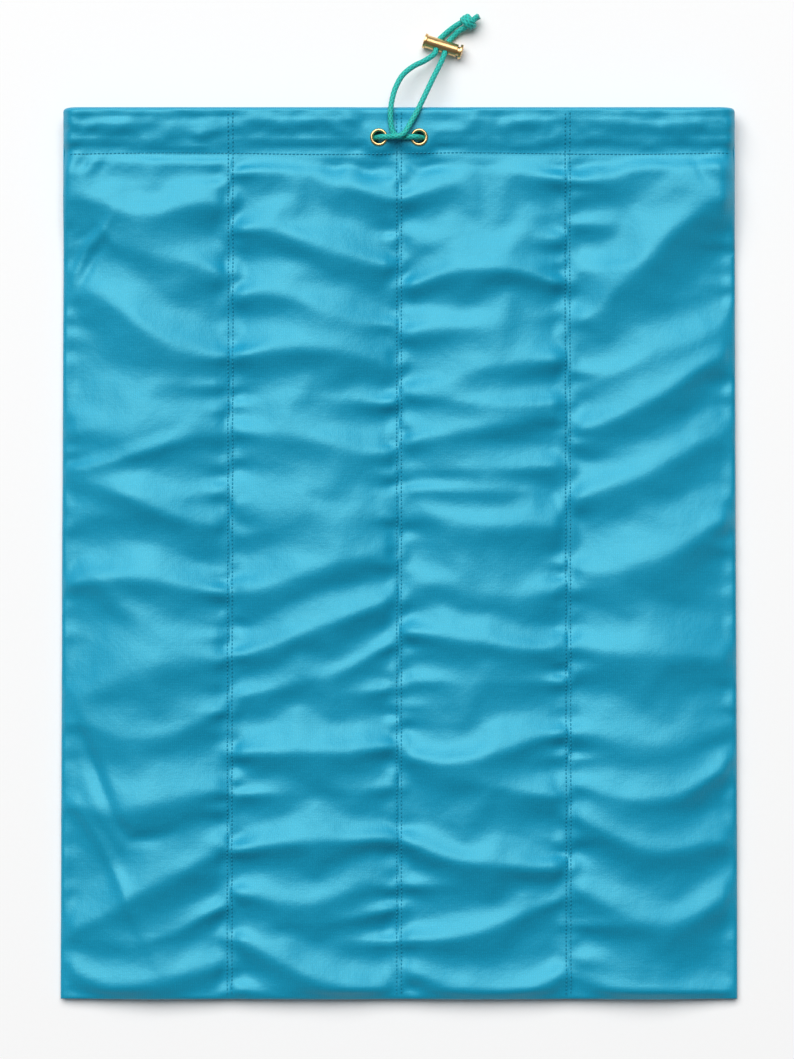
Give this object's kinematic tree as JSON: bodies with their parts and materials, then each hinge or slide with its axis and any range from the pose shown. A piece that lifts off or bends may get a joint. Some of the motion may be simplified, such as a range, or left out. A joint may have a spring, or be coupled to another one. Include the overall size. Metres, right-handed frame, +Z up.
{
  "type": "drawstring pouch",
  "caption": "Flat satin drawstring pouch with seamed panels, a folded cord casing at the mouth, brass eyelets, elastic cord with a knotted end and a sprung barrel cord lock.",
  "frame": {"origin": "on the floor under the middle of the pouch, without its free cord", "axes": "+X across the pouch, +Y from the bottom seam to the mouth, +Z up from the back to the front"},
  "size_m": [0.305, 0.4439, 0.0198],
  "materials": {
    "satin": "turquoise polyester satin with a soft sheen",
    "cord": "braided round elastic, teal green",
    "brass": "polished brass",
    "spring_steel": "drawn spring wire"
  },
  "bodies": {
    "pouch": {"front_panel_1": "satin", "front_panel_2": "satin", "front_panel_3": "satin", "front_panel_4": "satin", "back_panel_1": "satin", "back_panel_2": "satin", "back_panel_3": "satin", "back_panel_4": "satin", "eyelet_left": "brass", "eyelet_right": "brass", "eyelet_washer_left": "brass", "eyelet_washer_right": "brass", "drawcord_in_casing": "cord", "left_strand_lower": "cord", "right_strand_lower": "cord"},
    "cord_lock": {"lock_sleeve": "brass", "lock_spring": "spring_steel"},
    "plunger": {"lock_plunger": "brass"},
    "cord_end": {"cord_knot": "cord", "left_strand_upper": "cord", "right_strand_upper": "cord"}
  },
  "joints": [
    {"name": "lock_travel", "type": "slide", "parent": "pouch", "child": "cord_lock", "axis": [-0.2626, -0.843, 0.4695], "range_m": [0, 0.032], "deforming": ["left_strand_lower", "right_strand_lower"]},
    {"name": "plunger_press", "type": "slide", "parent": "cord_lock", "child": "plunger", "axis": [-0.9548, 0.2974, 0], "range_m": [0, 0.0008], "stiffness_N_per_m": 2500, "springref_m": -0.0008, "deforming": ["lock_spring"]},
    {"name": "cord_pull", "type": "slide", "parent": "cord_lock", "child": "cord_end", "axis": [0.7314, 0.682, 0], "range_m": [-0.005, 0.12], "deforming": ["left_strand_upper", "right_strand_upper"]}
  ]
}
